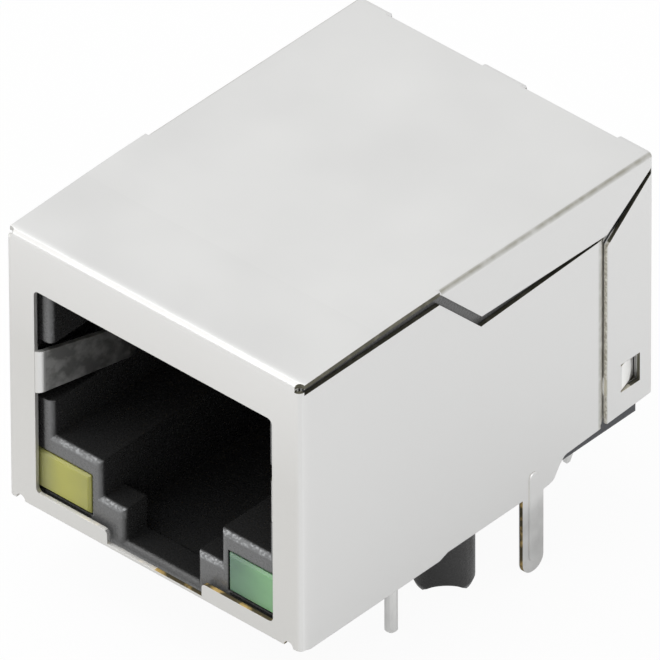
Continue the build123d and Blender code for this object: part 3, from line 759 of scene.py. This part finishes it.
def wind(number):
    """One spiral of wire round toroid core number, standing for its packed sleeve."""
    low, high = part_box(f"toroid_core_{number}")
    centre = (low + high) / 2
    outer = (high.x - low.x) / 2
    middle, half_depth = (outer + wound_bore) / 2, (high.y - low.y) / 2 + wire_radius
    half_width = (outer - wound_bore) / 2 + wire_radius
    path = bpy.data.curves.new(f"wire_{number}", "CURVE")
    path.dimensions = "3D"
    path.bevel_depth = wire_radius
    path.bevel_resolution = 1
    spline = path.splines.new("POLY")
    count = turns * points_per_turn
    spline.points.add(count - 1)
    for step, point in enumerate(spline.points):
        round_ring = math.radians(first_angle + wound_angle * step / count)
        round_section = 2 * math.pi * step / points_per_turn
        squareness = max(abs(math.cos(round_section)), abs(math.sin(round_section)))
        reach = middle + half_width * math.cos(round_section) / squareness
        depth = half_depth * math.sin(round_section) / squareness
        point.co = (centre.x + reach * math.sin(round_ring), centre.y + depth,
                    centre.z - reach * math.cos(round_ring), 1)
    winding = bpy.data.objects.new(f"wire_turns_{number}", path)
    bpy.context.scene.collection.objects.link(winding)
    path.materials.append(enamelled_copper)
    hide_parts(f"winding_{number}")
    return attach(winding, "root")


wound = [wind(number) for number in range(1, toroid_count + 1)]
print("wound toroids:", len(wound), "with", turns, "turns each")

# %% [markdown]
# ## Camera
# The photograph was taken with a very long lens from the front right and well above, so parallel
# edges hardly converge. The camera sits on a sphere round an aim point, at an azimuth and an
# elevation, with a trace of roll. Its lens is as long as it can be while a view from any other side
# still reaches the jack.

# %% Camera
azimuth, elevation, roll = (math.radians(a) for a in (42.295, 37.104, -0.262))
aim = Vector((0.00130997, -0.00188862, 0.00784451))
camera_distance = 1.17783
back = Vector((math.sin(azimuth) * math.cos(elevation), -math.cos(azimuth) * math.cos(elevation),
               math.sin(elevation)))
level_right = Vector((math.cos(azimuth), math.sin(azimuth), 0))
level_up = back.cross(level_right)
right = math.cos(roll) * level_right + math.sin(roll) * level_up
up = -math.sin(roll) * level_right + math.cos(roll) * level_up
camera = bpy.data.objects.new("camera", bpy.data.cameras.new("camera"))
bpy.context.scene.collection.objects.link(camera)
sight = Matrix((right, up, back)).transposed().to_4x4()
camera.matrix_world = Matrix.Translation(aim + back * camera_distance) @ sight
camera.data.sensor_width = 36
camera.data.lens = 1600.0
camera.data.clip_start, camera.data.clip_end = 0.01, 20
bpy.context.scene.camera = camera
print("camera at", [round(v, 3) for v in camera.location])

# %% [markdown]
# ## White surroundings
# Product photographs of bright metal are taken in a white tent. The world and the floor are plain
# white to the camera and in reflections, and a softer grey as a source of light, so the metal reads
# as light grey without being lit too strongly. The floor lets itself be seen through from below.

# %% World and floor


def seen_directly(tree, to_camera=1.0, in_metal=1.0):
    """The share for camera and transmission rays, the share for glossy rays, and 0 for the rest."""
    path = add_node(tree, "ShaderNodeLightPath").outputs
    either = strongest(tree, path["Is Camera Ray"], path["Is Transmission Ray"])
    metal_part = product(tree, path["Is Glossy Ray"], in_metal)
    return strongest(tree, product(tree, either, to_camera), metal_part)


world = bpy.data.worlds.new("white_tent")
world.use_nodes = True
tree = world.node_tree
light_grey = tree.nodes["Background"]
light_grey.inputs["Color"].default_value = (0.55, 0.55, 0.55, 1)
white = add_node(tree, "ShaderNodeBackground", {"Color": (1, 1, 1, 1), "Strength": 1.0})
share = seen_directly(tree, to_camera=1.0, in_metal=0.76)
sky = add_node(tree, "ShaderNodeMixShader", {0: share, 1: light_grey.outputs[0], 2: white.outputs[0]})
tree.links.new(sky.outputs[0], tree.nodes["World Output"].inputs["Surface"])
bpy.context.scene.world = world

floor_finish, tree, shader = new_finish("floor_white", (0.9, 0.9, 0.9), 0.9)
glow = add_node(tree, "ShaderNodeEmission", {"Color": (1, 1, 1, 1), "Strength": 1.0})
share = seen_directly(tree, to_camera=0.95, in_metal=0.4)
lit = add_node(tree, "ShaderNodeMixShader", {0: share, 1: shader.outputs[0], 2: glow.outputs[0]})
clear = add_node(tree, "ShaderNodeBsdfTransparent")
underside = add_node(tree, "ShaderNodeNewGeometry").outputs["Backfacing"]
either_side = add_node(tree, "ShaderNodeMixShader",
                       {0: underside, 1: lit.outputs[0], 2: clear.outputs[0]})
tree.links.new(either_side.outputs[0], tree.nodes["Material Output"].inputs["Surface"])

floor_half = 3.0
floor_mesh = bpy.data.meshes.new("floor")
corners = [(-floor_half, -floor_half, 0), (floor_half, -floor_half, 0), (floor_half, floor_half, 0),
           (-floor_half, floor_half, 0)]
floor_mesh.from_pydata(corners, [], [(0, 1, 2, 3)])
floor = bpy.data.objects.new("floor", floor_mesh)
bpy.context.scene.collection.objects.link(floor)
floor.location.z = cad_low.z
floor_mesh.materials.append(floor_finish)
print("floor at", round(floor.location.z / mm, 2), "mm")

# %% [markdown]
# ## Soft boxes
# Three soft boxes shape the jack inside the white tent. The key hangs overhead to the left and is
# large, so that the top and the folds fade out gently. A small weak one stands to the front left,
# where the fold between the top and the front panel mirrors it as a bright line, and one stands to
# the right for the side wall.

# %% Lights


def soft_box(name, direction, distance, side, power):
    """Square area light aimed at the jack's middle, unseen by the camera."""
    lamp = bpy.data.lights.new(name, "AREA")
    lamp.size = side
    lamp.energy = power
    box = bpy.data.objects.new(name, lamp)
    bpy.context.scene.collection.objects.link(box)
    box.location = aim + Vector(direction).normalized() * distance
    box.rotation_euler = (aim - box.location).to_track_quat("-Z", "Y").to_euler()
    box.visible_camera = False
    return box


soft_box("key_light", (-0.4, -0.25, 0.88), distance=0.5, side=0.5, power=1.5)
soft_box("fold_light", (-0.54, -0.60, 0.59), distance=0.5, side=0.2, power=0.1)
soft_box("side_light", (0.9, -0.1, 0.35), distance=0.6, side=0.3, power=0.4)
bpy.context.scene.view_settings.view_transform = "Standard"
